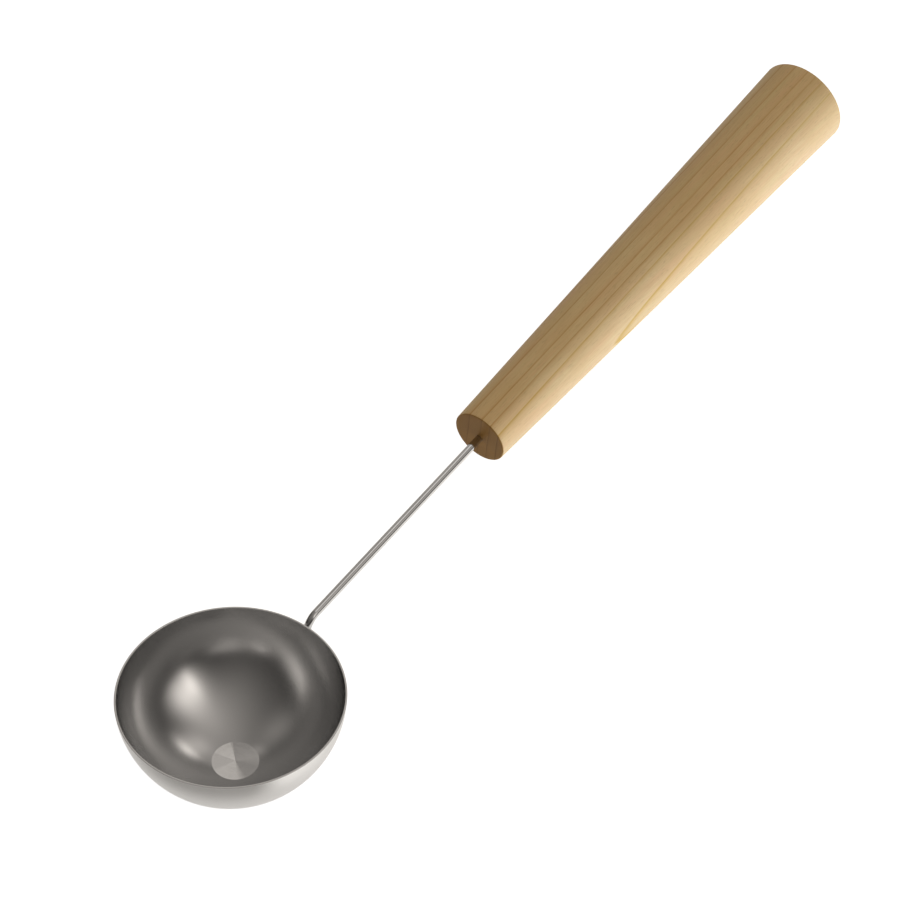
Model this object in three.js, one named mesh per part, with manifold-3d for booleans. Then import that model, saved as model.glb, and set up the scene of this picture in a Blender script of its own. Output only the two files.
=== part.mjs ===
// A sauna ladle: a spun steel bowl, a bent steel stem welded to the bowl's outer wall, and a turned
// wooden handle glued onto the stem's tang.
// Millimetres and degrees, +Z up. The origin is the centre of the bowl's flat base, and the handle
// points along +X.
import * as THREE from "three";
import { mergeVertices } from "three/addons/utils/BufferGeometryUtils.js";
import Module from "manifold-3d";

// Bowl
const RIM_DIAMETER = 90;
const BOWL_HEIGHT = 41.5;
const BASE_FLAT_DIAMETER = 19;
const BOWL_WALL = 0.8;
const RIM_EDGE_RADIUS = 0.3;
const RIM_EDGE_SHARE = 0.45; // the most of the wall that one rounded corner of the rim takes

// Stem
const STEM_DIAMETER = 3.2;
const STEM_TILT = 5.3; // rise of the straight shank over the rim's plane
const STEM_RIM_OFFSET = -0.6; // height of the shank's line over the rim's plane, where it crosses the rim
const STEM_BEND_RADIUS = 7; // on the stem's centre line
const STEM_LEG_LENGTH = 21; // the welded leg that follows the bowl's wall
const STEM_SHANK_LENGTH = 107.3; // bare shank between the bend and the handle
const STEM_TANG_LENGTH = 70; // the end that is glued into the handle

// Weld beads, one on each side of the leg
const WELD_RADIUS = 0.8;
const WELD_LENGTH = 14;
const WELD_LEG_SETBACK = 4; // from the leg's lower end to the bead's lower end
const WELD_RIPPLE_PITCH = 1.4;
const WELD_RIPPLE_DEPTH = 0.1;

// Handle
const HANDLE_LENGTH = 237.5;
const HANDLE_FRONT_DIAMETER = 24.4;
const HANDLE_BUTT_DIAMETER = 40.2;
const HANDLE_DROOP = 1.4; // the handle's axis lies this much lower than the stem's line
const HANDLE_FRONT_LIFT = 0.6; // the handle's centre over the stem's line, at the front face
const HANDLE_FRONT_EDGE_RADIUS = 0.6;
const HANDLE_BUTT_EDGE_RADIUS = 0.4;
const HANDLE_BORE_END_ROOM = 3; // empty bore past the tang's tip

// Glue film round the tang
const GLUE_FILM = 0.15;
const GLUE_MOUTH_SETBACK = 2; // the film starts this far inside the handle's front face

// Clearances between pieces that touch on the bench
const WELD_GAP = 0.15;
const GLUE_GAP = 0.08;

// Facet counts
const BOWL_SIDES = 64;
const BOWL_ARC_STEPS = 14;
const EDGE_STEPS = 3;
const HANDLE_SIDES = 56;
const STEM_SIDES = 16;
const LEG_STEPS = 7;
const BEND_STEPS = 10;
const BORE_SIDES = 32;
const WELD_SIDES = 10;
const WELD_CAP_STEPS = 3;
const WELD_STEPS_PER_RIPPLE = 4;

const radians = THREE.MathUtils.degToRad;
const stemRadius = STEM_DIAMETER / 2;
const rimRadius = RIM_DIAMETER / 2;
const baseRadius = BASE_FLAT_DIAMETER / 2;

const wasm = await Module();
wasm.setup();

// A closed three.js geometry as a solid that can be cut and joined.
function solidOf(geometry) {
  const bare = geometry.clone();
  bare.deleteAttribute("normal");
  bare.deleteAttribute("uv");
  const merged = mergeVertices(bare, 1e-4);
  return new wasm.Manifold(
    new wasm.Mesh({
      numProp: 3,
      vertProperties: new Float32Array(merged.attributes.position.array),
      triVerts: new Uint32Array(merged.index.array),
    }),
  );
}

// A solid back as a three.js geometry.
function geometryOf(solid) {
  const mesh = solid.getMesh();
  const geometry = new THREE.BufferGeometry();
  geometry.setAttribute("position", new THREE.BufferAttribute(mesh.vertProperties, 3));
  geometry.setIndex(new THREE.BufferAttribute(mesh.triVerts, 1));
  geometry.computeVertexNormals();
  return geometry;
}

// Points of a circular arc from one angle to another, both ends included.
function arcPoints(x, y, radius, from, to, steps) {
  return Array.from({ length: steps + 1 }, (_, i) => {
    const angle = from + ((to - from) * i) / steps;
    return new THREE.Vector2(x + radius * Math.cos(angle), y + radius * Math.sin(angle));
  });
}

// A profile of (radius, height) points, turned about the Z axis.
function turned(profile, sides) {
  return new THREE.LatheGeometry(profile, sides).rotateX(Math.PI / 2);
}

function part(name, geometry, material) {
  const mesh = new THREE.Mesh(geometry, material);
  mesh.name = name;
  return mesh;
}

const bowlSteel = new THREE.MeshStandardMaterial({ color: 0x9c9892, roughness: 0.34, metalness: 1 });
const stemSteel = new THREE.MeshStandardMaterial({ color: 0xb4b2ae, roughness: 0.2, metalness: 1 });
const weldSteel = new THREE.MeshStandardMaterial({ color: 0x8f8a83, roughness: 0.42, metalness: 1 });
const paleWood = new THREE.MeshStandardMaterial({ color: 0xc9a873, roughness: 0.6, metalness: 0 });
const amberGlue = new THREE.MeshStandardMaterial({ color: 0xc7a45a, roughness: 0.35, metalness: 0 });

// The bowl's outer wall is part of a sphere that runs through the rim's outer edge and the base's edge.
const sphereHeight =
  (rimRadius ** 2 + BOWL_HEIGHT ** 2 - baseRadius ** 2) / (2 * BOWL_HEIGHT);
const sphereRadius = Math.hypot(baseRadius, sphereHeight);

// The spun bowl: a spherical wall of even thickness, a flat base and a deburred rim.
function bowlGeometry() {
  const innerRadius = sphereRadius - BOWL_WALL;
  const edge = Math.min(RIM_EDGE_RADIUS, RIM_EDGE_SHARE * BOWL_WALL);
  // The rim's two rounded corners sit just under the rim's plane.
  const cornerHeight = BOWL_HEIGHT - edge;
  const outerAtCorner = Math.asin((cornerHeight - sphereHeight) / sphereRadius);
  const innerAtCorner = Math.asin((cornerHeight - sphereHeight) / innerRadius);
  const outerCornerRadius = sphereRadius * Math.cos(outerAtCorner);
  const innerCornerRadius = innerRadius * Math.cos(innerAtCorner);
  const outerAtBase = Math.atan2(-sphereHeight, baseRadius);
  const innerAtBase = Math.asin((BOWL_WALL - sphereHeight) / innerRadius);
  const profile = [
    new THREE.Vector2(0, 0),
    ...arcPoints(0, sphereHeight, sphereRadius, outerAtBase, outerAtCorner, BOWL_ARC_STEPS),
    ...arcPoints(outerCornerRadius - edge, cornerHeight, edge, 0, Math.PI / 2, EDGE_STEPS).slice(1),
    ...arcPoints(innerCornerRadius + edge, cornerHeight, edge, Math.PI / 2, Math.PI, EDGE_STEPS).slice(0, -1),
    ...arcPoints(0, sphereHeight, innerRadius, innerAtCorner, innerAtBase, BOWL_ARC_STEPS),
    new THREE.Vector2(0, BOWL_WALL),
  ];
  return turned(profile, BOWL_SIDES);
}

// The stem's centre line lies in the plane y = 0. Its leg runs on a circle round the bowl's sphere.
// The bend turns the other way and meets that circle and the straight shank at a tangent.
const tilt = radians(STEM_TILT);
const shankDirection = new THREE.Vector3(Math.cos(tilt), 0, Math.sin(tilt));
const shankUp = new THREE.Vector3(-Math.sin(tilt), 0, Math.cos(tilt));
const sphereCentre = new THREE.Vector3(0, 0, sphereHeight);
const legRadius = sphereRadius + WELD_GAP + stemRadius;

function stemStations() {
  const overRim = new THREE.Vector3(rimRadius, 0, BOWL_HEIGHT + STEM_RIM_OFFSET);
  // The bend's centre: a bend radius below the shank's line, and a bend radius outside the leg's circle.
  const below = overRim.clone().addScaledVector(shankUp, -STEM_BEND_RADIUS).sub(sphereCentre);
  const along = below.dot(shankDirection);
  const across = below.dot(shankUp);
  const reach = Math.sqrt((legRadius + STEM_BEND_RADIUS) ** 2 - across ** 2) - along;
  const bendCentre = below.clone().addScaledVector(shankDirection, reach).add(sphereCentre);
  const outward = bendCentre.clone().sub(sphereCentre).normalize();
  const legTop = Math.atan2(outward.z, outward.x);
  return {
    bendCentre,
    legTop,
    legEnd: legTop - STEM_LEG_LENGTH / legRadius,
    bendFrom: legTop + Math.PI,
    bendTo: tilt + Math.PI / 2,
    shankStart: bendCentre.clone().addScaledVector(shankUp, STEM_BEND_RADIUS),
  };
}
const stations = stemStations();
const tangStart = stations.shankStart.clone().addScaledVector(shankDirection, STEM_SHANK_LENGTH);
const handleFront = tangStart.clone().addScaledVector(shankUp, HANDLE_FRONT_LIFT);

// An arc in the plane y = 0.
class UprightArc extends THREE.Curve {
  constructor(centre, radius, from, to) {
    super();
    Object.assign(this, { centre, radius, from, to });
  }
  getPoint(t, target = new THREE.Vector3()) {
    const angle = THREE.MathUtils.lerp(this.from, this.to, t);
    return target.set(
      this.centre.x + this.radius * Math.cos(angle),
      0,
      this.centre.z + this.radius * Math.sin(angle),
    );
  }
}

// Curves one after another, each with its own number of steps, so that a straight run needs only one.
class SteppedPath extends THREE.Curve {
  constructor(runs) {
    super();
    this.runs = runs;
    this.steps = runs.reduce((sum, run) => sum + run.steps, 0);
  }
  getUtoTmapping(u) {
    return u;
  }
  getPoint(t, target = new THREE.Vector3()) {
    let step = THREE.MathUtils.clamp(t, 0, 1) * this.steps;
    const last = this.runs.length - 1;
    for (const [i, run] of this.runs.entries()) {
      if (step <= run.steps || i === last) return run.curve.getPoint(step / run.steps, target);
      step -= run.steps;
    }
    return target;
  }
}

// The stem in one piece of round wire: leg, bend, shank and tang.
function stemGeometry() {
  const tangEnd = tangStart.clone().addScaledVector(shankDirection, STEM_TANG_LENGTH);
  const path = new SteppedPath([
    { curve: new UprightArc(sphereCentre, legRadius, stations.legEnd, stations.legTop), steps: LEG_STEPS },
    {
      curve: new UprightArc(stations.bendCentre, STEM_BEND_RADIUS, stations.bendFrom, stations.bendTo),
      steps: BEND_STEPS,
    },
    { curve: new THREE.LineCurve3(stations.shankStart, tangEnd), steps: 1 },
  ]);
  const section = new THREE.Shape(arcPoints(0, 0, stemRadius, 0, 2 * Math.PI, STEM_SIDES).slice(0, -1));
  return new THREE.ExtrudeGeometry(section, { steps: path.steps, extrudePath: path, bevelEnabled: false });
}

// A weld bead with round ends and stacked ripples, laid in the corner between the leg and the bowl's wall.
// A capsule is rippled along its length, and its axis is then bent round the bowl's sphere beside the leg.
function weldGeometry(side) {
  const height = WELD_LENGTH - 2 * WELD_RADIUS;
  const heightSteps = Math.max(1, Math.round(height / WELD_RIPPLE_PITCH)) * WELD_STEPS_PER_RIPPLE;
  const bead = new THREE.CapsuleGeometry(WELD_RADIUS, height, WELD_CAP_STEPS, WELD_SIDES, heightSteps);
  const lift = WELD_RADIUS + WELD_GAP;
  const toLeg = stemRadius + WELD_GAP + WELD_RADIUS;
  const legOverBead = stemRadius + WELD_GAP - lift;
  const offset = side * Math.sqrt(toLeg ** 2 - legOverBead ** 2);
  const middle = stations.legEnd + (WELD_LEG_SETBACK + WELD_LENGTH / 2) / legRadius;
  const beadRadius = sphereRadius + lift;
  const sideways = Math.asin(offset / beadRadius);
  const position = bead.getAttribute("position");
  const point = new THREE.Vector3();
  for (let i = 0; i < position.count; i++) {
    point.fromBufferAttribute(position, i);
    const wave = Math.sin((Math.PI * point.y) / WELD_RIPPLE_PITCH) ** 2;
    const ripple = 1 - (WELD_RIPPLE_DEPTH / WELD_RADIUS) * wave;
    const outward = beadRadius + point.x * ripple;
    const turn = sideways - (point.z * ripple) / beadRadius;
    const angle = middle + point.y / beadRadius;
    position.setXYZ(
      i,
      outward * Math.cos(turn) * Math.cos(angle),
      outward * Math.sin(turn),
      sphereHeight + outward * Math.cos(turn) * Math.sin(angle),
    );
  }
  return bead;
}

// The bore and the glue film are round the stem's own line, so they start where the tang starts, in
// the handle's front face, and run along it.
const boreRadius = stemRadius + GLUE_GAP + GLUE_FILM + GLUE_GAP;
const boreDepth = STEM_TANG_LENGTH + HANDLE_BORE_END_ROOM;

// Places a geometry turned about Z so that its axis leaves a point at a rise over the X axis.
function alongRise(geometry, start, rise) {
  return geometry.rotateY(Math.PI / 2 - rise).translate(start.x, start.y, start.z);
}

// The handle: a turned cone with eased edges and a blind bore for the tang.
function handleGeometry() {
  const front = HANDLE_FRONT_DIAMETER / 2;
  const butt = HANDLE_BUTT_DIAMETER / 2;
  const profile = [
    new THREE.Vector2(0, 0),
    ...arcPoints(
      front - HANDLE_FRONT_EDGE_RADIUS,
      HANDLE_FRONT_EDGE_RADIUS,
      HANDLE_FRONT_EDGE_RADIUS,
      -Math.PI / 2,
      0,
      EDGE_STEPS,
    ),
    ...arcPoints(
      butt - HANDLE_BUTT_EDGE_RADIUS,
      HANDLE_LENGTH - HANDLE_BUTT_EDGE_RADIUS,
      HANDLE_BUTT_EDGE_RADIUS,
      0,
      Math.PI / 2,
      EDGE_STEPS,
    ),
    new THREE.Vector2(0, HANDLE_LENGTH),
  ];
  const cone = alongRise(turned(profile, HANDLE_SIDES), handleFront, tilt - radians(HANDLE_DROOP));
  const boreStart = -STEM_DIAMETER; // the cutter starts in front of the face
  const cutter = turned(
    [
      new THREE.Vector2(0, boreStart),
      new THREE.Vector2(boreRadius, boreStart),
      new THREE.Vector2(boreRadius, boreDepth),
      new THREE.Vector2(0, boreDepth + boreRadius), // the drill's point
    ],
    BORE_SIDES,
  );
  return geometryOf(solidOf(cone).subtract(solidOf(alongRise(cutter, tangStart, tilt))));
}

// The glue film: a thin sleeve between the tang and the bore.
function glueGeometry() {
  const inner = stemRadius + GLUE_GAP;
  const outer = inner + GLUE_FILM;
  const profile = [
    new THREE.Vector2(inner, GLUE_MOUTH_SETBACK),
    new THREE.Vector2(outer, GLUE_MOUTH_SETBACK),
    new THREE.Vector2(outer, STEM_TANG_LENGTH),
    new THREE.Vector2(inner, STEM_TANG_LENGTH),
    new THREE.Vector2(inner, GLUE_MOUTH_SETBACK),
  ];
  return alongRise(turned(profile, BORE_SIDES), tangStart, tilt);
}

const ladle = new THREE.Group();
ladle.add(part("bowl", bowlGeometry(), bowlSteel));
ladle.add(part("stem", stemGeometry(), stemSteel));
ladle.add(part("weld_bead_left", weldGeometry(1), weldSteel));
ladle.add(part("weld_bead_right", weldGeometry(-1), weldSteel));
ladle.add(part("handle", handleGeometry(), paleWood));
ladle.add(part("glue_film", glueGeometry(), amberGlue));

export default ladle;
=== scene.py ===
# %% [markdown]
# # A sauna ladle
# A ladle for pouring water over hot stones: a spun steel bowl, a steel wire stem that is bent over the
# rim and welded to the bowl's back, and a turned wooden handle glued onto the stem's tang. The solids
# come from the CAD frame. Each piece that shows is made again here as a finer surface on the same sizes,
# in metres, with +Z up and the handle along +X, and then gets a procedural finish.

import bpy
import numpy as np
from mathutils import Matrix, Vector


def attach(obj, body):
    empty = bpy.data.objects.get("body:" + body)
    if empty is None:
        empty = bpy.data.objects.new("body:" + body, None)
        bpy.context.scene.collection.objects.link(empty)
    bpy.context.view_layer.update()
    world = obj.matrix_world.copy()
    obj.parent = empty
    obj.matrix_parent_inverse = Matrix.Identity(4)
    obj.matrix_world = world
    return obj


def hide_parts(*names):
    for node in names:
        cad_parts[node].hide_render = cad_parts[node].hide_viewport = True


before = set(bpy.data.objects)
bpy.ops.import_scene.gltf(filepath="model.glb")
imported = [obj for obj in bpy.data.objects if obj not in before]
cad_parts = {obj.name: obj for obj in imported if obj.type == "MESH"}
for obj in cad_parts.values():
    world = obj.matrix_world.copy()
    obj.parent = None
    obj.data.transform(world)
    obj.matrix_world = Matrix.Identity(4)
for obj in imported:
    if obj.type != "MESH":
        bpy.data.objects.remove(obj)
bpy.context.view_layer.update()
MM = 0.001

# %% [markdown]
# ## The camera
# The photograph looks down into the bowl with a long lens, so the ladle hardly narrows with distance. The
# lens, the place and the two angles come from fitting the outlines of the rim, the stem and the handle.
# Building the camera from its own right, up and forward directions keeps it level.

# %% Camera
RIM_HEIGHT = 41.5 * MM
LOOK_TURN = np.radians(37.30)
LOOK_DOWN = np.radians(46.944)
LENS_MM = 138.796
SENSOR_MM = 36
CAMERA_PLACE = (-0.61965, -0.57825, 1.04105 + RIM_HEIGHT)

level_reach = np.cos(LOOK_DOWN)
look = Vector((level_reach * np.cos(LOOK_TURN), level_reach * np.sin(LOOK_TURN), -np.sin(LOOK_DOWN)))
sideways = Vector((np.sin(LOOK_TURN), -np.cos(LOOK_TURN), 0))
upwards = sideways.cross(look)
camera_turn = Matrix((sideways, upwards, -look)).transposed().to_4x4()

camera_data = bpy.data.cameras.new("camera")
camera_data.lens = LENS_MM
camera_data.sensor_width = SENSOR_MM
camera = bpy.data.objects.new("camera", camera_data)
camera.matrix_world = Matrix.Translation(CAMERA_PLACE) @ camera_turn
bpy.context.collection.objects.link(camera)
bpy.context.scene.camera = camera
bpy.context.scene.view_settings.view_transform = "Standard"
print("camera at", [round(v, 3) for v in camera.location])

# %% [markdown]
# ## Rings make every piece
# A bowl, a wire and a turned handle are all closed skins over rings: a row of circles, one after another,
# with the first and last closed to a point. A few helpers turn an array of rings into a mesh, so each
# piece only has to say where its rings lie. The UV map runs round the piece in U and along its profile in
# V, so a finish can follow it. Points of a plane are complex numbers below, because e to the i angle is a
# step of length one at that angle, and a product turns and stretches. A profile is radius + i height, and
# the stem's path is x + i z.

# %% Faces over rings
FULL_TURN = 2 * np.pi
HALF_TURN = FULL_TURN / 2
QUARTER_TURN = FULL_TURN / 4


def arc(middle, radius, start, end, steps):
    """Points along a circle, both ends included: middle + radius times e to the i angle."""
    return middle + radius * np.exp(1j * np.linspace(start, end, steps + 1))


def round_angles(around):
    """The angles of a ring's points, evenly spaced over one full turn."""
    return np.arange(around) * FULL_TURN / around


def ring_faces(count, around):
    """Corner numbers of the quads between rings and of the fans that close the first and last ring.

    Point j of ring i has the number i * around + j, and the two tips come after all rings.
    """
    ring, step = np.meshgrid(np.arange(count - 1), np.arange(around), indexing="ij")
    here = ring * around + step
    following = ring * around + (step + 1) % around
    quads = np.stack([here, following, following + around, here + around], -1).reshape(-1, 4)
    here = np.arange(around)
    following = (here + 1) % around
    last_ring = (count - 1) * around
    first_fan = np.stack([np.full(around, count * around), following, here], -1)
    last_fan = np.stack([np.full(around, count * around + 1), last_ring + here, last_ring + following], -1)
    return quads, first_fan, last_fan


# %% UV map over rings
def uv_pairs(u, v):
    """U and V side by side, each stretched to the other's shape."""
    return np.stack(np.broadcast_arrays(u, v), -1)


def ring_uv(rings, first_tip, last_tip):
    """U is the share of the way round, and V the share of the way over the rings, from tip to tip."""
    around = rings.shape[1]
    line = np.concatenate([[first_tip], rings[:, 0], [last_tip]])
    run = np.concatenate([[0], np.cumsum(np.linalg.norm(np.diff(line, axis=0), axis=1))])
    v = run / run[-1]
    u = np.arange(around) / around
    u_next = u + 1 / around
    u_middle = u + 0.5 / around
    low, high = v[1:-2, None], v[2:-1, None]
    quads = [uv_pairs(u, low), uv_pairs(u_next, low), uv_pairs(u_next, high), uv_pairs(u, high)]
    first_fan = [uv_pairs(u_middle, 0.0), uv_pairs(u_next, v[1]), uv_pairs(u, v[1])]
    last_fan = [uv_pairs(u_middle, 1.0), uv_pairs(u, v[-2]), uv_pairs(u_next, v[-2])]
    return np.stack(quads, 2).reshape(-1, 4, 2), np.stack(first_fan, 1), np.stack(last_fan, 1)


# %% Rings to mesh
def outward_sign(points, quads, first_fan, last_fan):
    """Six times the skin's signed volume, which is positive when its faces point outwards."""
    triangles = np.concatenate([quads[:, [0, 1, 2]], quads[:, [0, 2, 3]], first_fan, last_fan])
    a, b, c = (points[triangles[:, corner]] for corner in range(3))
    return np.einsum("ij,ij->i", a, np.cross(b, c)).sum()


def ring_skin(name, rings, first_tip, last_tip, sharp_degrees):
    """Closed skin over rings[i, j]: quads between neighbouring rings, and a fan from each tip."""
    points = np.concatenate([rings.reshape(-1, 3), [first_tip], [last_tip]])
    faces = ring_faces(*rings.shape[:2])
    face_uv = ring_uv(rings, first_tip, last_tip)
    if outward_sign(points, *faces) < 0:
        faces = [part[:, ::-1] for part in faces]
        face_uv = [part[:, ::-1] for part in face_uv]
    corners = np.concatenate([part.ravel() for part in faces]).astype(np.int32)
    sizes = np.concatenate([np.full(len(part), part.shape[1]) for part in faces])
    starts = np.concatenate([[0], np.cumsum(sizes)[:-1]]).astype(np.int32)
    corner_uv = np.concatenate([part.ravel() for part in face_uv]).astype(np.float32)

    mesh = bpy.data.meshes.new(name)
    mesh.vertices.add(len(points))
    mesh.vertices.foreach_set("co", points.astype(np.float32).ravel())
    mesh.loops.add(len(corners))
    mesh.loops.foreach_set("vertex_index", corners)
    mesh.polygons.add(len(sizes))
    mesh.polygons.foreach_set("loop_start", starts)
    mesh.uv_layers.new(name="round_and_along").data.foreach_set("uv", corner_uv)
    mesh.polygons.foreach_set("use_smooth", np.ones(len(sizes), dtype=bool))
    mesh.update(calc_edges=True)
    mesh.validate()
    mesh.set_sharp_from_angle(angle=np.radians(sharp_degrees))
    piece = bpy.data.objects.new(name, mesh)
    bpy.context.collection.objects.link(piece)
    print(name, "has", len(points), "points and", len(sizes), "faces")
    return piece


# %% [markdown]
# ## The bowl
# A flat steel disc is pressed over a turning former until it lies on it, which leaves a thin wall, a
# small flat base and a cut rim that is only deburred. It is one profile turned about Z: base, outer
# sphere, rim, inner wall and inner base. The sphere is the one through the rim's edge and the base's
# edge. Spinning never leaves a perfect wall, and a mirror shows it, so the inner wall's slope swings
# slowly by a few degrees between base and rim.

# %% Bowl sizes
RIM_RADIUS = 45 * MM
BASE_RADIUS = 9.5 * MM
BOWL_WALL = 0.8 * MM
RIM_EDGE = 0.15 * MM
WALL_WAVE = np.radians(2.6)
SPHERE_HEIGHT = (RIM_RADIUS**2 + RIM_HEIGHT**2 - BASE_RADIUS**2) / (2 * RIM_HEIGHT)
SPHERE_RADIUS = np.hypot(BASE_RADIUS, SPHERE_HEIGHT)
SPHERE_MIDDLE = 1j * SPHERE_HEIGHT
INNER_RADIUS = SPHERE_RADIUS - BOWL_WALL
print("bowl's sphere has a radius of", round(SPHERE_RADIUS / MM, 2), "mm")


def inner_wall(bottom, top, steps):
    """Radius + i height up the inner wall, from the base's edge to the rim, as the sum of many short steps.

    Each step heads along the inner sphere, turned by a cosine wave: steeper at both ends, flatter between.
    One complex factor then turns and stretches the sum, so that it starts and ends on that sphere.
    """
    share = (np.arange(steps) + 0.5) / steps
    heading = bottom + (top - bottom) * share + QUARTER_TURN + WALL_WAVE * np.cos(FULL_TURN * share)
    run = np.concatenate([[0], np.cumsum(np.exp(1j * heading))])
    start, end = SPHERE_MIDDLE + INNER_RADIUS * np.exp(1j * np.array([bottom, top]))
    return start + run * (end - start) / run[-1]


def turned_rings(profile, around):
    """Rings about the Z axis: (radius cos a, radius sin a, height) for every angle a round the axis."""
    angle = round_angles(around)
    radius, height = profile.real[:, None], profile.imag[:, None]
    return np.stack(np.broadcast_arrays(radius * np.cos(angle), radius * np.sin(angle), height), -1)


# %% Bowl
BOWL_AROUND = 160
OUTER_STEPS = 70
INNER_STEPS = 90
EDGE_STEPS = 6
BASE_RINGS = BASE_RADIUS * np.array([0.35, 0.7])

edge_height = RIM_HEIGHT - RIM_EDGE
outer_bottom = np.arctan2(-SPHERE_HEIGHT, BASE_RADIUS)
outer_top = np.arcsin((edge_height - SPHERE_HEIGHT) / SPHERE_RADIUS)
inner_bottom = np.arcsin((BOWL_WALL - SPHERE_HEIGHT) / INNER_RADIUS)
inner_top = np.arcsin((edge_height - SPHERE_HEIGHT) / INNER_RADIUS)
outer_edge = SPHERE_RADIUS * np.cos(outer_top) - RIM_EDGE + 1j * edge_height
inner_edge = INNER_RADIUS * np.cos(inner_top) + RIM_EDGE + 1j * edge_height
wall = inner_wall(inner_bottom, inner_top, INNER_STEPS)
thickness = SPHERE_RADIUS - np.abs(wall - SPHERE_MIDDLE)
print("wall is", np.round([thickness.min() / MM, thickness.max() / MM], 2), "mm thick")

bowl_profile = np.concatenate(
    [
        BASE_RINGS,
        arc(SPHERE_MIDDLE, SPHERE_RADIUS, outer_bottom, outer_top, OUTER_STEPS),
        arc(outer_edge, RIM_EDGE, 0, QUARTER_TURN, EDGE_STEPS)[1:],
        arc(inner_edge, RIM_EDGE, QUARTER_TURN, HALF_TURN, EDGE_STEPS)[:-1],
        wall[::-1],
        BASE_RINGS[::-1] + 1j * BOWL_WALL,
    ]
)
rings = turned_rings(bowl_profile, BOWL_AROUND)
bowl = ring_skin("spun_bowl", rings, (0, 0, 0), (0, 0, BOWL_WALL), sharp_degrees=8)
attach(bowl, "root")
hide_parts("bowl")

# %% [markdown]
# ## The stem
# One length of round wire: a leg that lies along the bowl's back, a tight bend over the rim and a
# straight shank that ends as a tang inside the handle. The leg runs on a circle round the bowl's sphere,
# and the bend's circle touches that circle from outside and the shank's line from below, so the wire has
# no kink. A circle is carried along that path, in the upright plane y = 0.

# %% Stem path
STEM_RADIUS = 1.6 * MM
STEM_TILT = np.radians(5.3)
STEM_RIM_OFFSET = -0.6 * MM
BEND_RADIUS = 7 * MM
LEG_LENGTH = 21 * MM
SHANK_LENGTH = 107.3 * MM
TANG_LENGTH = 70 * MM
WELD_GAP = 0.15 * MM
LEG_CIRCLE = SPHERE_RADIUS + WELD_GAP + STEM_RADIUS

along_shank = np.exp(1j * STEM_TILT)
over_shank = 1j * along_shank
over_rim = RIM_RADIUS + 1j * (RIM_HEIGHT + STEM_RIM_OFFSET)
# Dividing by the shank's direction turns the picture level. The bend's middle then lies one bend radius
# under the shank's line, and both radii away from the sphere's middle, because the two circles touch.
line_height = ((over_rim - BEND_RADIUS * over_shank - SPHERE_MIDDLE) / along_shank).imag
reach = np.sqrt((LEG_CIRCLE + BEND_RADIUS) ** 2 - line_height**2)
bend_middle = SPHERE_MIDDLE + (reach + 1j * line_height) * along_shank
leg_top = np.angle(bend_middle - SPHERE_MIDDLE)
leg_end = leg_top - LEG_LENGTH / LEG_CIRCLE
shank_start = bend_middle + BEND_RADIUS * over_shank
tang_start = shank_start + SHANK_LENGTH * along_shank
print("shank from", np.round(shank_start / MM, 2), "to", np.round(tang_start / MM, 2), "mm")


# %% Rings along a path
def upright(point):
    """A point x + i z of the upright plane as (x, 0, z)."""
    return (point.real, 0, point.imag)


def path_rings(middle, heading, radius, around):
    """Rings square to a path in the plane y = 0: middle + radius (cos a over + sin a across), a = angle.

    "over" is the heading turned up by a quarter, so i times the heading, and "across" is the Y axis.
    """
    angle = round_angles(around)
    spot = middle[:, None] + radius[:, None] * np.cos(angle) * 1j * heading[:, None]
    return np.stack([spot.real, radius[:, None] * np.sin(angle), spot.imag], -1)


# %% Stem
STEM_AROUND = 40
LEG_STEPS = 40
BEND_STEPS = 48
SHANK_STEPS = 59
CUT_EDGE = 0.3 * MM
CUT_STEPS = 5


def stem_path():
    """Leg on the bowl's circle, bend on its own circle the other way round, then straight shank and tang.

    A circle's heading is i times the way out from its middle, or minus i times it the other way round.
    """
    leg = arc(0, 1, leg_end, leg_top, LEG_STEPS)
    bend = arc(0, 1, leg_top + HALF_TURN, STEM_TILT + QUARTER_TURN, BEND_STEPS)[1:]
    far = np.linspace(0, SHANK_LENGTH + TANG_LENGTH, SHANK_STEPS + 1)[1:]
    on_leg = SPHERE_MIDDLE + LEG_CIRCLE * leg
    on_bend = bend_middle + BEND_RADIUS * bend
    middle = [on_leg, on_bend, shank_start + far * along_shank]
    heading = [1j * leg, -1j * bend, np.full(len(far), along_shank)]
    return np.concatenate(middle), np.concatenate(heading)


def broken_ends(middle, heading):
    """The path with both cut ends broken: there the radius and the way along follow a quarter circle."""
    rise = np.linspace(0, QUARTER_TURN, CUT_STEPS + 1)
    setback = CUT_EDGE * (1 - np.cos(rise))
    end_radius = STEM_RADIUS - CUT_EDGE * (1 - np.sin(rise))
    first, last = np.full(len(rise), heading[0]), np.full(len(rise), heading[-1])
    whole = np.full(len(middle) - 2, STEM_RADIUS)
    radius = np.concatenate([end_radius, whole, end_radius[::-1]])
    middle = np.concatenate([middle[0] + first * setback, middle[1:-1], middle[-1] - last * setback[::-1]])
    return middle, np.concatenate([first, heading[1:-1], last]), radius


middle, heading, radius = broken_ends(*stem_path())
rings = path_rings(middle, heading, radius, STEM_AROUND)
stem = ring_skin("wire_stem", rings, upright(middle[0]), upright(middle[-1]), sharp_degrees=40)
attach(stem, "root")
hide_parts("stem")

# %% [markdown]
# ## The weld beads
# The leg is held by a short run of weld on each side. A hand-laid bead is a row of overlapping puddles,
# so its height swells and falls along the run, and it wets both the wire and the wall. The bead is a
# round section carried along the corner between them, swelling with a rippled radius, and it is sunk a
# little into both.

# %% Weld beads
WELD_LENGTH = 14 * MM
WELD_SETBACK = 4 * MM
WELD_RADIUS = 1.02 * MM
WELD_LIFT = 0.7 * MM
WELD_ASIDE = 2.1 * MM
RIPPLE_PITCH = 1.4 * MM
RIPPLE_CURVE = 0.28 * MM
RIPPLE_LOW = 0.9
RIPPLE_SWELL = 0.14
TAPER_POWER = 5
TAPER_LEAST = 0.02
WELD_STEPS = 120
WELD_AROUND = 24


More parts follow.
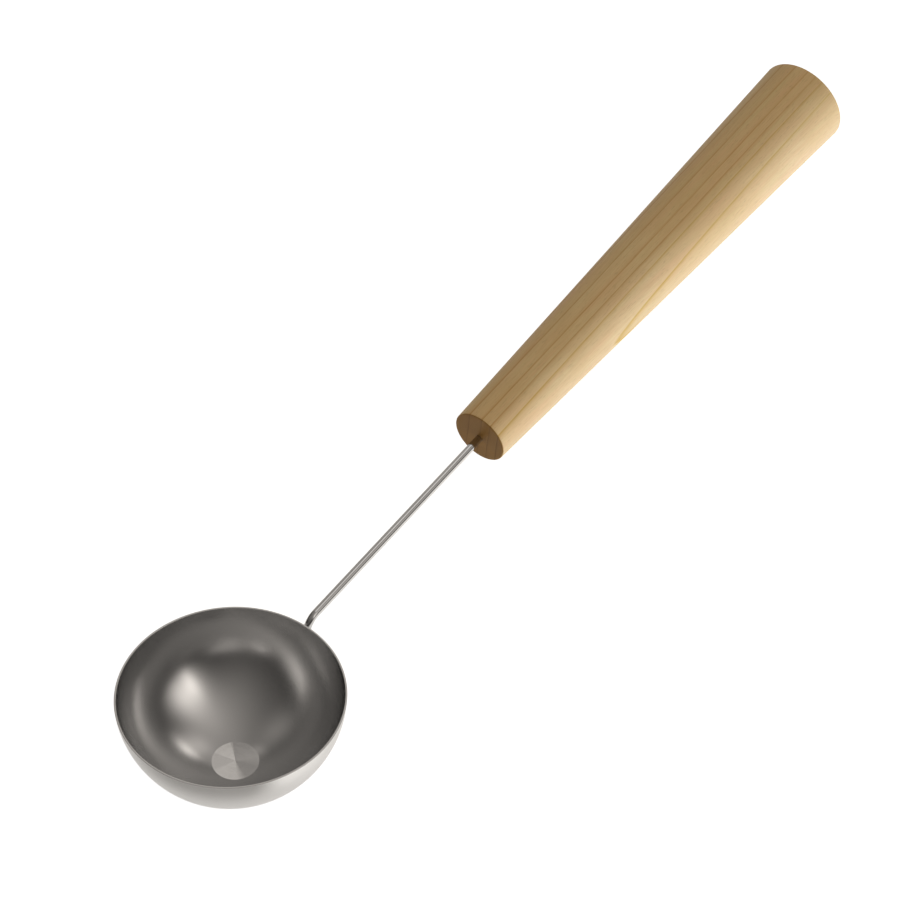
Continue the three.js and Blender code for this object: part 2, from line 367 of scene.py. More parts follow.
def weld_rings(side):
    """A rippled round section carried over the bowl's sphere, beside the leg and along the run of weld.

    The radius is a row of sine arches along the run, bowed round the section, and shrinks at both ends.
    """
    along = np.linspace(-1, 1, WELD_STEPS)[:, None]
    angle = round_angles(WELD_AROUND)
    taper = np.sqrt(np.clip(1 - np.abs(along) ** TAPER_POWER, TAPER_LEAST, 1))
    ripple = (along * WELD_LENGTH / 2 + RIPPLE_CURVE * np.cos(angle)) / RIPPLE_PITCH
    radius = WELD_RADIUS * taper * (RIPPLE_LOW + RIPPLE_SWELL * np.abs(np.sin(HALF_TURN * ripple)))
    up_leg = leg_end + (WELD_SETBACK + WELD_LENGTH / 2 * (1 + along)) / LEG_CIRCLE
    outward = SPHERE_RADIUS + WELD_LIFT + radius * np.cos(angle)
    turn = (side * WELD_ASIDE + radius * np.sin(angle)) / SPHERE_RADIUS
    spot = SPHERE_MIDDLE + outward * np.cos(turn) * np.exp(1j * up_leg)
    return np.stack([spot.real, outward * np.sin(turn), spot.imag], -1)


weld_beads = []
for weld, side in (("weld_bead_left", 1), ("weld_bead_right", -1)):
    rings = weld_rings(side)
    bead = ring_skin("rippled_" + weld, rings, rings[0].mean(0), rings[-1].mean(0), sharp_degrees=60)
    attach(bead, "root")
    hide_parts(weld)
    weld_beads.append(bead)

# %% [markdown]
# ## The handle
# A cone turned on a lathe from one straight-grained blank, thin at the stem and thick at the butt, with
# only lightly eased edges, and drilled from the front. The drill ran a little askew, so the cone's own
# axis starts just over the stem's line and sinks under it. The rings start at the bottom of the bore,
# come out along the stem's line to a mouth where the wood closes on the wire, cross the front face and
# then follow the cone's axis.

# %% Handle sizes
HANDLE_LENGTH = 237.5 * MM
FRONT_RADIUS = 12.2 * MM
BUTT_RADIUS = 20.1 * MM
HANDLE_TILT = STEM_TILT - np.radians(1.4)
FRONT_LIFT = 0.6 * MM
FRONT_EDGE = 0.6 * MM
BUTT_EDGE = 0.4 * MM
BORE_CLEARANCE = 0.31 * MM
BORE_OVERRUN = 3 * MM
MOUTH_CLEARANCE = 0.04 * MM
MOUTH_DEPTH = 1 * MM
BORE_RADIUS = STEM_RADIUS + BORE_CLEARANCE
BORE_DEPTH = TANG_LENGTH + BORE_OVERRUN
MOUTH_RADIUS = STEM_RADIUS + MOUTH_CLEARANCE

along_handle = np.exp(1j * HANDLE_TILT)
handle_front = tang_start + FRONT_LIFT * over_shank
handle_butt = handle_front + HANDLE_LENGTH * along_handle
drill_point = tang_start + (BORE_DEPTH + BORE_RADIUS) * along_shank
print("handle from", np.round(handle_front / MM, 2), "to", np.round(handle_butt / MM, 2), "mm")

# %% Handle
HANDLE_AROUND = 128
FACE_STEPS = 8
CONE_STEPS = 79
BORE_RINGS = 20


def handle_profile():
    """The turned line, way along + i radius: front face, eased edge, cone, eased edge and butt face."""
    front_edge = FRONT_EDGE + 1j * (FRONT_RADIUS - FRONT_EDGE)
    butt_edge = HANDLE_LENGTH - BUTT_EDGE + 1j * (BUTT_RADIUS - BUTT_EDGE)
    cone_ends = front_edge + 1j * FRONT_EDGE, butt_edge + 1j * BUTT_EDGE
    return np.concatenate(
        [
            1j * np.linspace(MOUTH_RADIUS, front_edge.imag, FACE_STEPS + 1)[1:],
            arc(front_edge, FRONT_EDGE, HALF_TURN, QUARTER_TURN, EDGE_STEPS)[1:],
            np.linspace(*cone_ends, CONE_STEPS + 1)[1:-1],
            arc(butt_edge, BUTT_EDGE, QUARTER_TURN, 0, EDGE_STEPS),
            HANDLE_LENGTH + 1j * np.linspace(butt_edge.imag, 0, FACE_STEPS + 1)[1:-1],
        ]
    )


def handle_rings(profile):
    """The bore's rings on the stem's line, the last at its mouth, then the profile's on the cone's line."""
    bore = np.append(np.linspace(BORE_DEPTH, MOUTH_DEPTH, BORE_RINGS), 0)
    middle = [tang_start + bore * along_shank, handle_front + profile.real * along_handle]
    heading = [np.full(len(bore), along_shank), np.full(len(profile), along_handle)]
    radius = [np.where(bore > 0, BORE_RADIUS, MOUTH_RADIUS), profile.imag]
    return path_rings(*(np.concatenate(parts) for parts in (middle, heading, radius)), HANDLE_AROUND)


rings = handle_rings(handle_profile())
handle = ring_skin("turned_handle", rings, upright(drill_point), upright(handle_butt), sharp_degrees=40)
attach(handle, "root")
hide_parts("handle")

# %% [markdown]
# ## Building finishes from nodes
# Every finish below is a small network of nodes. One helper adds a node, sets its choices and joins or
# fills its sockets, and a few others do the same for the nodes that are used most. So each finish reads
# as a list of what feeds what.

# %% Node helpers
def node(tree, kind, sockets=None, **choices):
    """Adds a node, sets its choices, and links or fills the sockets that are named or numbered."""
    made = tree.nodes.new(kind)
    for choice, value in choices.items():
        setattr(made, choice, value)
    for key, value in (sockets or {}).items():
        socket = made.inputs[key]
        if isinstance(value, bpy.types.NodeSocket):
            tree.links.new(value, socket)
        else:
            socket.default_value = (*value, 1) if socket.type == "RGBA" else value
    return made


def math(tree, operation, a, b=0.0, c=0.0):
    """One Math node's answer."""
    return node(tree, "ShaderNodeMath", {0: a, 1: b, 2: c}, operation=operation).outputs[0]


def vector_math(tree, operation, a, b=(0, 0, 0), scale=1.0):
    """One Vector Math node's answer: a value for a length or a dot product, and otherwise a vector."""
    made = node(tree, "ShaderNodeVectorMath", {0: a, 1: b, 3: scale}, operation=operation)
    return made.outputs["Value" if operation in ("LENGTH", "DOT_PRODUCT") else "Vector"]


def spread(tree, value, low, high, start=0.0, end=1.0, pace="LINEAR"):
    """A value that goes from low to high while the given one goes from start to end, and no further."""
    sockets = {"Value": value, "From Min": start, "From Max": end, "To Min": low, "To Max": high}
    return node(tree, "ShaderNodeMapRange", sockets, interpolation_type=pace).outputs[0]


def fade(tree, value, start, end, low, high):
    """The same with a soft start and a soft end."""
    return spread(tree, value, low, high, start, end, pace="SMOOTHSTEP")


# %% Colour and material helpers
def grey(tone):
    """A colour without a tint."""
    return (tone, tone, tone)


def ramp(tree, value, stops):
    """A colour ramp through (place, colour) stops."""
    made = node(tree, "ShaderNodeValToRGB", {"Fac": value})
    while len(made.color_ramp.elements) < len(stops):
        made.color_ramp.elements.new(0.5)
    for element, (place, colour) in zip(made.color_ramp.elements, stops):
        element.position = place
        element.color = (*colour, 1)
    return made.outputs["Color"]


def mix_colour(tree, share, a, b):
    """Two colours mixed by a share from 0 to 1. A Mix node keeps its colours in sockets 6 and 7."""
    return node(tree, "ShaderNodeMix", {0: share, 6: a, 7: b}, data_type="RGBA").outputs[2]


def blank_material(name):
    """A new material without nodes."""
    material = bpy.data.materials.new(name)
    material.use_nodes = True
    material.node_tree.nodes.clear()
    return material, material.node_tree


def object_place(tree):
    """Where a point is on the ladle, in metres."""
    return node(tree, "ShaderNodeTexCoord").outputs["Object"]


def unwrapped(tree):
    """Where a point is on the piece's own UV map."""
    return node(tree, "ShaderNodeUVMap", uv_map="round_and_along").outputs[0]


def put_finish(material, shader, pieces):
    """Joins a shader to its material's output and puts the material on pieces."""
    node(material.node_tree, "ShaderNodeOutputMaterial", {"Surface": shader.outputs[0]})
    for piece in pieces:
        piece.data.materials.clear()
        piece.data.materials.append(material)
    names = [piece.name for piece in pieces]
    print(material.name, "with", len(material.node_tree.nodes), "nodes on", names)


# %% [markdown]
# ## Two effects that several finishes share
# Spinning, drawing and growing all leave fine lines that run one way, so one group makes streaks from any
# coordinates: noise that is squeezed across the lines and stretched along them. Hands and cloths leave
# broad soft patches that are a little duller or shinier, so a second group makes those. Both only put out
# values.

# %% Streaks and smudges
VECTOR = "NodeSocketVector"
VALUE = "NodeSocketFloat"


def effect_group(name, inputs, output):
    """A new shader node group with named inputs, vectors or values, and one value that it puts out."""
    group = bpy.data.node_groups.new(name, "ShaderNodeTree")
    for label, kind in inputs.items():
        group.interface.new_socket(label, in_out="INPUT", socket_type=kind)
    group.interface.new_socket(output, in_out="OUTPUT", socket_type=VALUE)
    print("group", name, "turns", list(inputs), "into", output)
    given = group.nodes.new("NodeGroupInput").outputs
    result = group.nodes.new("NodeGroupOutput").inputs[output]
    return group, given, result


def use_group(tree, group, sockets):
    """Places an effect group in a material and gives its output."""
    return node(tree, "ShaderNodeGroup", sockets, node_tree=group).outputs[0]


streak_inputs = {"Place": VECTOR, "Stretch": VECTOR, "Detail": VALUE}
streaks, given, result = effect_group("streaks", streak_inputs, "Lines")
squeezed = vector_math(streaks, "MULTIPLY", given["Place"], given["Stretch"])
noise = node(streaks, "ShaderNodeTexNoise", {"Vector": squeezed, "Scale": 1, "Detail": given["Detail"]})
streaks.links.new(spread(streaks, noise.outputs["Fac"], 0, 1, start=0.28, end=0.72), result)

smudges, given, result = effect_group("smudges", {"Place": VECTOR, "Fineness": VALUE}, "Patches")
cloudy = {"Vector": given["Place"], "Scale": given["Fineness"], "Detail": 3, "Distortion": 0.6}
noise = node(smudges, "ShaderNodeTexNoise", cloudy)
smudges.links.new(spread(smudges, noise.outputs["Fac"], 0, 1, start=0.3, end=0.7), result)

# %% [markdown]
# ## Spun steel
# The bowl is satin stainless steel. The former and a scouring pad leave very fine rings round its axis,
# seen only where they stretch a highlight, and its gloss varies softly. The rings follow the UV map's V,
# so they run round the bowl inside and out.

# %% Bowl wall finish
spun_steel, tree = blank_material("spun_steel")
place = object_place(tree)
rings_seen = use_group(tree, streaks, {"Place": unwrapped(tree), "Stretch": (2, 420, 0), "Detail": 4})
patches = use_group(tree, smudges, {"Place": place, "Fineness": 34})
wall_tone = mix_colour(tree, patches, grey(0.67), grey(0.70))
wall_gloss = math(tree, "ADD", spread(tree, patches, 0.18, 0.21), spread(tree, rings_seen, 0.0, 0.02))
fine_rings = node(tree, "ShaderNodeBump", {"Height": rings_seen, "Strength": 0.02, "Distance": 0.05 * MM})
print("spun steel has", len(tree.nodes), "nodes for the wall")

# %% [markdown]
# ## The faced disc
# Inside the bowl the flat base was faced with a tool, and its grooves are deeper. Each one tilts the
# surface towards the middle or away from it, which smears a reflection along the radius and gives such a
# disc its light and dark sectors, like the rays on a watch dial. The grooves are finer than a pixel, so
# the tilt is put straight onto the normal. It gives too little contrast by itself, so the sectors' light
# and dark reflection is also painted into the base colour, as a ramp of tones round the disc.

# %% Disc grooves
DISC_GROOVE = 0.015 * MM
GROOVE_TILT = 0.4
DISC_DULLNESS = 0.45
DISC_MARGIN = 0.1 * MM
DISC_BAND = 0.2 * BOWL_WALL

flat_place = vector_math(tree, "MULTIPLY", place, (1, 1, 0))
from_axis = vector_math(tree, "LENGTH", flat_place)
spot = node(tree, "ShaderNodeSeparateXYZ", {0: place}).outputs
at_height = math(tree, "COMPARE", spot["Z"], BOWL_WALL, DISC_BAND)
on_disc = math(tree, "MULTIPLY", at_height, math(tree, "LESS_THAN", from_axis, BASE_RADIUS - DISC_MARGIN))

groove_count = {"W": math(tree, "DIVIDE", from_axis, DISC_GROOVE), "Scale": 1, "Detail": 0}
groove = node(tree, "ShaderNodeTexNoise", groove_count, noise_dimensions="1D").outputs["Fac"]
groove_tilt = math(tree, "MULTIPLY", math(tree, "SUBTRACT", groove, 0.5), GROOVE_TILT)
outwards = vector_math(tree, "NORMALIZE", flat_place)
lean = vector_math(tree, "SCALE", outwards, scale=math(tree, "MULTIPLY", on_disc, groove_tilt))
normal = vector_math(tree, "NORMALIZE", vector_math(tree, "ADD", fine_rings.outputs[0], lean))
gloss = math(tree, "MULTIPLY", wall_gloss, spread(tree, on_disc, 1.0, DISC_DULLNESS))
print(round(BASE_RADIUS / DISC_GROOVE), "grooves from the disc's middle to its edge")

# %% Disc sectors
# Painted reflection: the light and dark tone at angles round the disc, in degrees from the handle's
# direction.
PAINTED_SECTORS_START = 20
PAINTED_SECTOR_TONES = [
    (20, 0.53),
    (44, 0.53),
    (54, 0.90),
    (96, 0.85),
    (106, 0.71),
    (152, 0.71),
    (164, 0.80),
    (222, 0.80),
    (248, 0.45),
    (285, 0.42),
    (320, 0.52),
    (380, 0.53),
]
angle = math(tree, "ARCTAN2", spot["Y"], spot["X"])
turned = math(tree, "MULTIPLY_ADD", angle, 1 / FULL_TURN, 1 - PAINTED_SECTORS_START / 360)
stops = [((degrees - PAINTED_SECTORS_START) / 360, grey(light)) for degrees, light in PAINTED_SECTOR_TONES]
# The ramp paints the sectors' reflection into the disc's colour, as painted light and shade.
painted_sector_reflection = ramp(tree, math(tree, "FRACT", turned), stops)
tone = mix_colour(tree, on_disc, wall_tone, painted_sector_reflection)
steel = {"Base Color": tone, "Metallic": 1, "Roughness": gloss, "Normal": normal}
put_finish(spun_steel, node(tree, "ShaderNodeBsdfPrincipled", steel), [bowl])

# %% [markdown]
# ## Drawn wire and weld
# The wire is pulled through a die, so its fine lines run along it and it shines more than the bowl. The
# weld metal froze from a puddle and was brushed, so it is duller, with a straw tint from the heat.

# %% Stem and weld finishes
drawn_wire, tree = blank_material("drawn_wire")
die_lines = use_group(tree, streaks, {"Place": unwrapped(tree), "Stretch": (60, 3, 0), "Detail": 2})
patches = use_group(tree, smudges, {"Place": object_place(tree), "Fineness": 90})
tone = mix_colour(tree, patches, grey(0.55), grey(0.59))
gloss = math(tree, "ADD", spread(tree, patches, 0.05, 0.07), spread(tree, die_lines, 0.0, 0.02))
steel = {"Base Color": tone, "Metallic": 1, "Roughness": gloss}
put_finish(drawn_wire, node(tree, "ShaderNodeBsdfPrincipled", steel), [stem])

brushed_weld, tree = blank_material("brushed_weld")
patches = use_group(tree, smudges, {"Place": object_place(tree), "Fineness": 420})
tone = mix_colour(tree, patches, (0.50, 0.43, 0.34), (0.62, 0.60, 0.57))
steel = {"Base Color": tone, "Metallic": 1, "Roughness": spread(tree, patches, 0.32, 0.46)}
put_finish(brushed_weld, node(tree, "ShaderNodeBsdfPrincipled", steel), weld_beads)

# %% [markdown]
# ## Turned wood
# A pale straight-grained softwood. Its growth layers are nearly flat sheets here, because the blank was
# cut far from the pith, and the turned cone cuts through them. So the layers show as thin brown lines
# that run the length of the handle and cross its end faces, and the widening cone reaches a new layer
# about a third of the way along. The pattern is worked out in millimetres on the handle's own axes, so
# the sides and the ends agree.

# %% Handle axes in the wood
SHEET_FACING = (0, -0.990, -0.138)
SHEET_BOW = 0.00012

turned_wood, tree = blank_material("turned_wood")
handle_axes = {
    "Vector": object_place(tree),
    "Location": upright(handle_front),
    "Rotation": (0, -HANDLE_TILT, 0),
    "Scale": (MM, MM, MM),
}
on_axis = node(tree, "ShaderNodeMapping", handle_axes, vector_type="TEXTURE").outputs[0]
along = node(tree, "ShaderNodeSeparateXYZ", {0: on_axis}).outputs["X"]

# The sheets' depth in the blank, slightly wavy, bowing outwards on one side towards the butt.
depth = vector_math(tree, "DOT_PRODUCT", on_axis, SHEET_FACING)
outer_depth = math(tree, "MAXIMUM", depth, 0.0)
outer_square = math(tree, "MULTIPLY", outer_depth, outer_depth)
bow = math(tree, "MULTIPLY", outer_square, math(tree, "MULTIPLY", along, SHEET_BOW))
slow_wave = use_group(tree, streaks, {"Place": on_axis, "Stretch": (0.008, 0.03, 0.03), "Detail": 1})
quick_wave = use_group(tree, streaks, {"Place": on_axis, "Stretch": (0.05, 0.1, 0.1), "Detail": 2})
layer = math(tree, "ADD", math(tree, "ADD", depth, bow), spread(tree, slow_wave, -0.35, 0.35))
layer = math(tree, "ADD", layer, spread(tree, quick_wave, -0.08, 0.08))
print("wood pattern starts at", [round(v / MM, 2) for v in upright(handle_front)], "mm")

# %% [markdown]
# ## Growth lines
# Within one year the wood darkens slowly, at first hardly and then steeply, and stops short at the next
# spring. One group draws such a line at a given place in the layers, and its Side says which way the
# spring lies. Each line of the handle is one use of it, at the depth where the line shows on the handle's
# side, and grows weaker towards the butt.

# %% One growth line
YEAR_WIDTH = 2.4
SPRING_WIDTH = 0.35

line_inputs = {"Layer": VALUE, "Place": VALUE, "Side": VALUE, "Darkness": VALUE}
growth_line, given, result = effect_group("growth_line", line_inputs, "Line")
from_line = math(growth_line, "SUBTRACT", given["Layer"], given["Place"])
past = math(growth_line, "MULTIPLY", from_line, given["Side"])
summer = spread(growth_line, past, 0, 1, start=-YEAR_WIDTH, end=0)
late = math(growth_line, "MULTIPLY", math(growth_line, "POWER", summer, 7.0), 0.72)
early = math(growth_line, "MULTIPLY", math(growth_line, "POWER", summer, 2.0), 0.28)
spring = fade(growth_line, past, 0, SPRING_WIDTH, 1, 0)
year = math(growth_line, "MULTIPLY", math(growth_line, "ADD", late, early), spring)
growth_line.links.new(math(growth_line, "MULTIPLY", year, given["Darkness"]), result)

# %% The handle's growth lines
# Depth in millimetres, side of the spring, darkness.
GROWTH_LINES = [
    (-18.5, 1, 0.7),
    (-12.2, 1, 1.0),
    (-5.9, 1, 0.8),
    (0.1, 1, 0.8),
    (4.3, -1, 0.9),
    (8.8, -1, 1.15),
    (16.9, -1, 1.25),
]
FRONT_DARKNESS = 1.2
BUTT_DARKNESS = 0.8
LENGTH_MM = HANDLE_LENGTH / MM

line = 0.0
for line_depth, side, darkness in GROWTH_LINES:
    loss = (BUTT_DARKNESS - FRONT_DARKNESS) * darkness / LENGTH_MM
    fading = math(tree, "MULTIPLY_ADD", along, loss, FRONT_DARKNESS * darkness)
    one_line = {"Layer": layer, "Place": line_depth, "Side": side, "Darkness": fading}
    line = math(tree, "ADD", line, use_group(tree, growth_line, one_line))
patchy = use_group(tree, streaks, {"Place": on_axis, "Stretch": (0.03, 0.3, 0.3), "Detail": 2})
line = math(tree, "MULTIPLY", line, spread(tree, patchy, 0.6, 1.0))
print(len(GROWTH_LINES), "growth lines")

# %% [markdown]
# ## Wood colour
# Fine fibres, short flecks and broader rosy streaks run along the grain. The lines are brown on one side
# of the handle and more yellow on the other. Both cut ends are darker, and their lines darker still,
# because end grain drinks the oil. They are found by their distance along the handle.

# %% Grain
END_GRAIN_DEPTH = 0.25
fibres = use_group(tree, streaks, {"Place": on_axis, "Stretch": (0.06, 1.9, 1.9), "Detail": 4})
flecks = use_group(tree, streaks, {"Place": on_axis, "Stretch": (0.3, 2.6, 2.6), "Detail": 1})
fleck = ramp(tree, flecks, [(0.0, grey(1)), (0.14, grey(0.5)), (0.24, grey(0))])
rosy = use_group(tree, streaks, {"Place": on_axis, "Stretch": (0.025, 0.3, 0.3), "Detail": 3})
broad = use_group(tree, smudges, {"Place": object_place(tree), "Fineness": 18})
from_middle = math(tree, "ABSOLUTE", math(tree, "SUBTRACT", along, LENGTH_MM / 2))
end_grain = math(tree, "GREATER_THAN", from_middle, LENGTH_MM / 2 - END_GRAIN_DEPTH)
print("end grain in the last", END_GRAIN_DEPTH, "mm at both ends")

# %% Handle finish
PALE_WOOD = [(0.85, 0.625, 0.275), (0.93, 0.705, 0.35)]
ROSY_WOOD = (0.92, 0.56, 0.275)
FIBRE = (0.73, 0.475, 0.195)
FLECK = (0.52, 0.33, 0.15)
BROWN_LINE = (0.54, 0.21, 0.02)
YELLOW_LINE = (0.66, 0.39, 0.05)
END_WOOD = (0.42, 0.192, 0.02)
END_LINE = (0.31, 0.14, 0.018)

wood = mix_colour(tree, broad, *PALE_WOOD)
for share, mask, colour in (
    (0.6, rosy, ROSY_WOOD),
    (0.48, fibres, FIBRE),
    (0.3, fleck, FLECK),
    (0.86, end_grain, END_WOOD),
):
    wood = mix_colour(tree, math(tree, "MULTIPLY", mask, share), wood, colour)
yellower = spread(tree, layer, 0, 1, start=4, end=10)
line_colour = mix_colour(tree, yellower, BROWN_LINE, YELLOW_LINE)
line_colour = mix_colour(tree, end_grain, line_colour, END_LINE)
wood = mix_colour(tree, math(tree, "MULTIPLY", line, 0.8), wood, line_colour)
relief = math(tree, "MULTIPLY", math(tree, "SUBTRACT", fibres, fleck), 0.5)
grain_bump = node(tree, "ShaderNodeBump", {"Height": relief, "Strength": 0.12, "Distance": 0.1 * MM})
gloss = math(tree, "ADD", spread(tree, broad, 0.42, 0.48), math(tree, "MULTIPLY", fibres, 0.05))
oiled = {"Base Color": wood, "Roughness": gloss, "Specular IOR Level": 0.35}
oiled["Normal"] = grain_bump.outputs[0]
put_finish(turned_wood, node(tree, "ShaderNodeBsdfPrincipled", oiled), [handle])

# %% [markdown]
# ## Cured glue
# The film of glue round the tang is inside the bore and hardly ever seen. Its solid is right as it is, so
# it keeps the CAD mesh and only gets an amber finish with small bubbles.

# %% Glue finish
cured_glue, tree = blank_material("cured_glue")
bubbles = use_group(tree, smudges, {"Place": object_place(tree), "Fineness": 900})
tone = mix_colour(tree, bubbles, (0.62, 0.44, 0.17), (0.76, 0.58, 0.28))
amber = {"Base Color": tone, "Roughness": spread(tree, bubbles, 0.3, 0.42)}
put_finish(cured_glue, node(tree, "ShaderNodeBsdfPrincipled", amber), [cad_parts["glue_film"]])

# %% [markdown]
# ## White table
# The ladle lies on a white sheet that is lit from underneath, like a light table. To the camera the sheet
# glows white everywhere. Steel shows the sheet too, so mirror rays see a glow of their own that changes
# from place to place, painted light and shade that only the steel's reflections show: a bright band along
# the ladle's right side, dim in front of the bowl and bright at its front right. The matte part of the
# sheet still takes the ladle's soft shadow. From below the sheet is clear, so that the underside can be
# looked at.

# %% Floor
FLOOR_HALF = 6.0

corners = [(-1, -1), (1, -1), (1, 1), (-1, 1)]
floor_mesh = bpy.data.meshes.new("floor")
floor_mesh.from_pydata([(FLOOR_HALF * x, FLOOR_HALF * y, 0) for x, y in corners], [], [(0, 1, 2, 3)])
floor = bpy.data.objects.new("floor", floor_mesh)
bpy.context.collection.objects.link(floor)
# The lamps that stand lower than the sheet shine through it.
floor.visible_shadow = False
print("floor is", 2 * FLOOR_HALF, "m wide")

# %% Glow beside the handle and the stem
GLOW_FAR = 0.46
GLOW_NEAR = 1.0
BAND_STARTS = (0.0, 0.05)
BAND_ENDS = (0.1, 0.35)


def between(tree, value, starts, ends):
    """A share that fades in over the starts and fades out over the ends."""
    return math(tree, "MULTIPLY", fade(tree, value, *starts, 0, 1), fade(tree, value, *ends, 1, 0))


white_sheet, tree = blank_material("white_sheet")
place = object_place(tree)
spot = node(tree, "ShaderNodeSeparateXYZ", {0: place}).outputs
# Painted light: a bright band of glow beside the handle and the stem, seen only by mirror rays.
to_right = math(tree, "MULTIPLY", spot["Y"], -1.0)
band = between(tree, to_right, BAND_STARTS, BAND_ENDS)
handle_glow = spread(tree, band, GLOW_FAR, GLOW_NEAR)
print("bright band from", BAND_STARTS[1], "to", BAND_ENDS[0], "m beside the ladle")

# %% Glow round the bowl
TO_THE_FRONT = (-0.731, -0.682, 0)
TO_THE_RIGHT = (0.989, -0.445, 0)
UNDER_GLOW = 0.50
FRONT_DIM = -0.33
RIGHT_BRIGHT = 0.35
RING_STARTS = (0.036, 0.066)
RING_ENDS = (0.1, 0.25)
BACK_TO_FRONT = (-0.01, 0.05)
BACK_SHARE = 0.15
DIM_TO_BRIGHT = (-0.016, 0.018)
BOWL_TO_HANDLE = (0.05, 0.12)

# Painted light and shade round the bowl, seen only by mirror rays: dim in front of the bowl, bright at its
# front right.
from_bowl = vector_math(tree, "LENGTH", place)
front = vector_math(tree, "DOT_PRODUCT", place, TO_THE_FRONT)
right = vector_math(tree, "DOT_PRODUCT", place, TO_THE_RIGHT)
ring = between(tree, from_bowl, RING_STARTS, RING_ENDS)
ring = math(tree, "MULTIPLY", ring, fade(tree, front, *BACK_TO_FRONT, BACK_SHARE, 1))
swing = fade(tree, right, *DIM_TO_BRIGHT, FRONT_DIM, RIGHT_BRIGHT)
bowl_glow = math(tree, "MULTIPLY_ADD", ring, swing, UNDER_GLOW)
by_handle = fade(tree, spot["X"], *BOWL_TO_HANDLE, 0, 1)
by_bowl = math(tree, "MULTIPLY", math(tree, "SUBTRACT", 1.0, by_handle), bowl_glow)
painted_reflection_glow = math(tree, "MULTIPLY_ADD", by_handle, handle_glow, by_bowl)
print("glow round the bowl is", UNDER_GLOW, "with", FRONT_DIM, "in front and", RIGHT_BRIGHT, "at the right")

# %% Sheet finish
CAMERA_GLOW = 0.84
MIRROR_TINT = (1.0, 0.97, 0.93)

rays = node(tree, "ShaderNodeLightPath").outputs
mirror = math(tree, "MAXIMUM", rays["Is Glossy Ray"], rays["Is Transmission Ray"])
mirror_level = math(tree, "MULTIPLY", mirror, painted_reflection_glow)
level = math(tree, "MULTIPLY_ADD", rays["Is Camera Ray"], CAMERA_GLOW, mirror_level)
tint = mix_colour(tree, mirror, grey(1.0), MIRROR_TINT)
lit = node(tree, "ShaderNodeEmission", {"Color": tint, "Strength": level})
matte = node(tree, "ShaderNodeBsdfDiffuse", {"Color": grey(0.8)})
both = node(tree, "ShaderNodeAddShader", {0: lit.outputs[0], 1: matte.outputs[0]})
underside = node(tree, "ShaderNodeNewGeometry").outputs["Backfacing"]
from_below = math(tree, "MULTIPLY", underside, rays["Is Camera Ray"])
clear = node(tree, "ShaderNodeBsdfTransparent")
sheet = node(tree, "ShaderNodeMixShader", {0: from_below, 1: both.outputs[0], 2: clear.outputs[0]})
put_finish(white_sheet, sheet, [floor])

# %% [markdown]
# ## A room of soft lights
# The bowl is a mirror of its room, so the lights were read out of it: each bright patch inside the bowl
# was followed back to the direction that it reflects. A light with a soft edge all round is easier to
# paint on the world than to build from lamps. One group paints a glow that fades like a bell curve round
# a middle direction, and the room is the sum of a few such glows over a dim sky. To the camera the world
# is plain white.

# %% One soft glow
GLOW_AXES = ("Middle", "Across", "Upward")
glow_inputs = {"Direction": VECTOR, "Brightness": VALUE} | {axis: VECTOR for axis in GLOW_AXES}
soft_glow, given, result = effect_group("soft_glow", glow_inputs, "Level")
along_axes = [vector_math(soft_glow, "DOT_PRODUCT", given["Direction"], given[axis]) for axis in GLOW_AXES]
toward, aside, higher = along_axes
away_squared = math(soft_glow, "MULTIPLY_ADD", aside, aside, math(soft_glow, "MULTIPLY", higher, higher))
bell = math(soft_glow, "EXPONENT", math(soft_glow, "MULTIPLY", away_squared, -1.0))
in_front = math(soft_glow, "GREATER_THAN", toward, 0.0)
level = math(soft_glow, "MULTIPLY", math(soft_glow, "MULTIPLY", bell, in_front), given["Brightness"])
soft_glow.links.new(level, result)

# %% World and its directions
world = bpy.data.worlds.new("studio")
bpy.context.scene.world = world
world.use_nodes = True
tree = world.node_tree
tree.nodes.clear()
direction = node(tree, "ShaderNodeTexCoord").outputs["Generated"]


def direction_at(turn, rise):
    """The direction at a turn from +X and a rise over the floor, both in degrees."""
    turn, rise = np.radians(turn), np.radians(rise)
    return Vector((np.cos(rise) * np.cos(turn), np.cos(rise) * np.sin(turn), np.sin(rise)))


def glow(turn, rise, wide, tall, brightness):
    """One soft light of the room, faded to about a third at wide or tall degrees from its middle."""
    middle = direction_at(turn, rise)
    across = direction_at(turn + 90, 0)
    sockets = {
        "Direction": direction,
        "Middle": middle,
        "Across": across / np.sin(np.radians(wide)),
        "Upward": middle.cross(across) / np.sin(np.radians(tall)),
        "Brightness": brightness,
    }
    return use_group(tree, soft_glow, sockets)


# %% Room
SKY_LOW = 0.02
SKY_RISE = 0.126
WARM = (1.07, 1.0, 0.93)

glows = [
    glow(turn=-90, rise=31, wide=5, tall=14, brightness=0.85),
    glow(turn=-77, rise=36, wide=17, tall=18, brightness=0.98),
    glow(turn=-74, rise=64, wide=24, tall=16, brightness=0.15),
    glow(turn=-65, rise=83, wide=67, tall=29, brightness=0.14),
    glow(turn=-19, rise=48, wide=11, tall=12, brightness=0.40),
    glow(turn=-10, rise=34, wide=9, tall=6, brightness=1.65),
    glow(turn=35, rise=32, wide=19, tall=25, brightness=0.48),
    glow(turn=43, rise=53, wide=8, tall=8, brightness=0.14),
    glow(turn=60, rise=24, wide=13, tall=12, brightness=0.5),
    glow(turn=85, rise=54, wide=5, tall=8, brightness=0.24),
    glow(turn=115, rise=44, wide=14, tall=16, brightness=0.16),
]
height = math(tree, "MAXIMUM", node(tree, "ShaderNodeSeparateXYZ", {0: direction}).outputs["Z"], 0.0)
room = math(tree, "MULTIPLY_ADD", math(tree, "MULTIPLY", height, height), SKY_RISE, SKY_LOW)
for one_glow in glows:
    room = math(tree, "ADD", room, one_glow)
warm_room = vector_math(tree, "SCALE", WARM, scale=room)
to_camera = node(tree, "ShaderNodeLightPath").outputs["Is Camera Ray"]
seen = mix_colour(tree, to_camera, warm_room, grey(1.0))
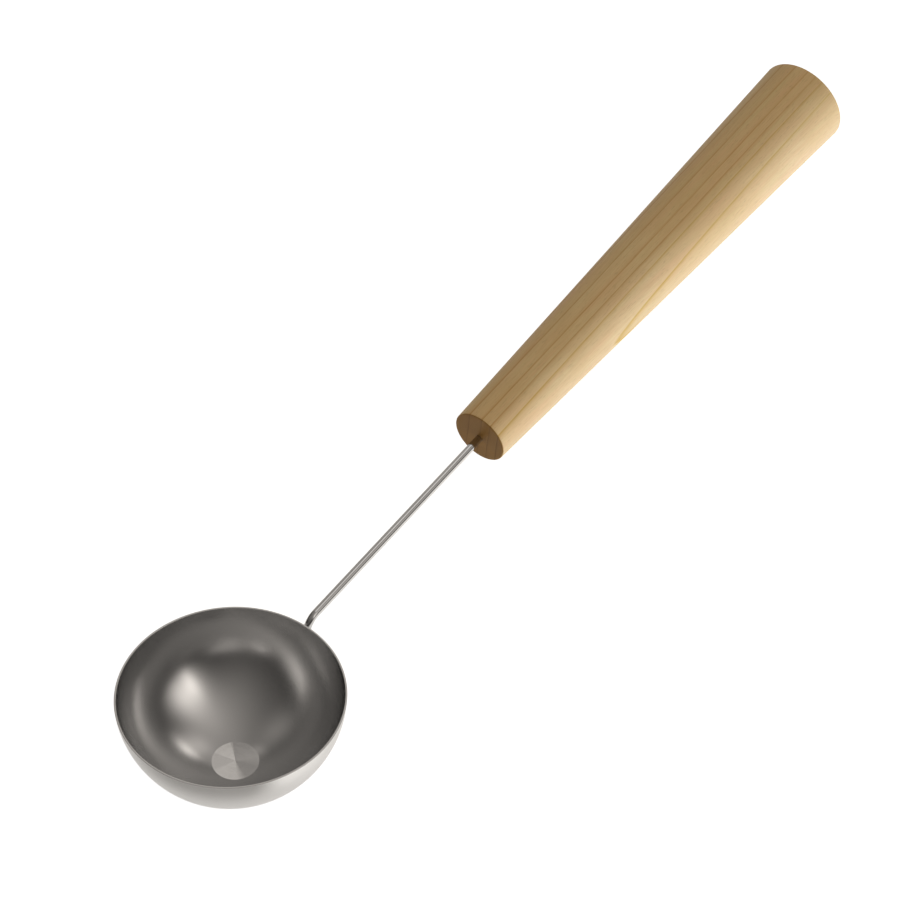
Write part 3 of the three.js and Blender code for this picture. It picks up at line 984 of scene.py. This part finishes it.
backdrop = node(tree, "ShaderNodeBackground", {"Color": seen, "Strength": 1})
node(tree, "ShaderNodeOutputWorld", {"Surface": backdrop.outputs[0]})
print("room of", len(glows), "glows")

# %% [markdown]
# ## Lamps
# The handle's lower right side is the brightest part of it, so the strongest lamp shines up from under the
# table there. Two dim fills, one over the handle and one behind it, set the tone of its shaded side. All
# three are hidden from mirror rays, because the steel already shows the room and the sheet. The wire has a
# bright line along its top that the bowl doesn't repeat, so it gets a strip lamp of its own, and light
# linking keeps that lamp off everything else.

# %% Lamps
HANDLE_PLACE = (0.28, 0, 0.06)
STEM_PLACE = (0.1, 0, 0.048)


def soft_box(name, turn, rise, wide, tall, brightness, colour, aim=HANDLE_PLACE, distance=0.8):
    """A soft box at a turn from +X and a rise over the floor, wide and tall degrees to either side."""
    away = direction_at(turn, rise)
    lamp = bpy.data.lights.new(name, "AREA")
    lamp.shape = "RECTANGLE"
    lamp.size, lamp.size_y = (2 * distance * np.tan(np.radians(half)) for half in (wide, tall))
    lamp.energy = brightness * np.pi * lamp.size * lamp.size_y
    lamp.color = colour
    box = bpy.data.objects.new(name, lamp)
    box.location = Vector(aim) + away * distance
    box.rotation_euler = (-away).to_track_quat("-Z", "Y").to_euler()
    bpy.context.collection.objects.link(box)
    print(name, "at", [round(v, 2) for v in box.location])
    return box


for box in (
    soft_box("table_box", -75, -25, wide=26, tall=12, brightness=6.9, colour=(0.93, 1.08, 1.55)),
    soft_box("top_box", -90, 60, wide=30, tall=30, brightness=0.25, colour=(1.05, 1.0, 0.88)),
    soft_box("back_box", 115, -10, wide=30, tall=20, brightness=0.32, colour=(1.1, 0.85, 0.55)),
):
    box.visible_glossy = False

over_stem = {"aim": STEM_PLACE, "distance": 0.5}
strip = soft_box("stem_strip", 10, 67, wide=14, tall=14, brightness=0.65, colour=MIRROR_TINT, **over_stem)
lit_by_strip = bpy.data.collections.new("lit_by_strip")
lit_by_strip.objects.link(stem)
strip.light_linking.receiver_collection = lit_by_strip
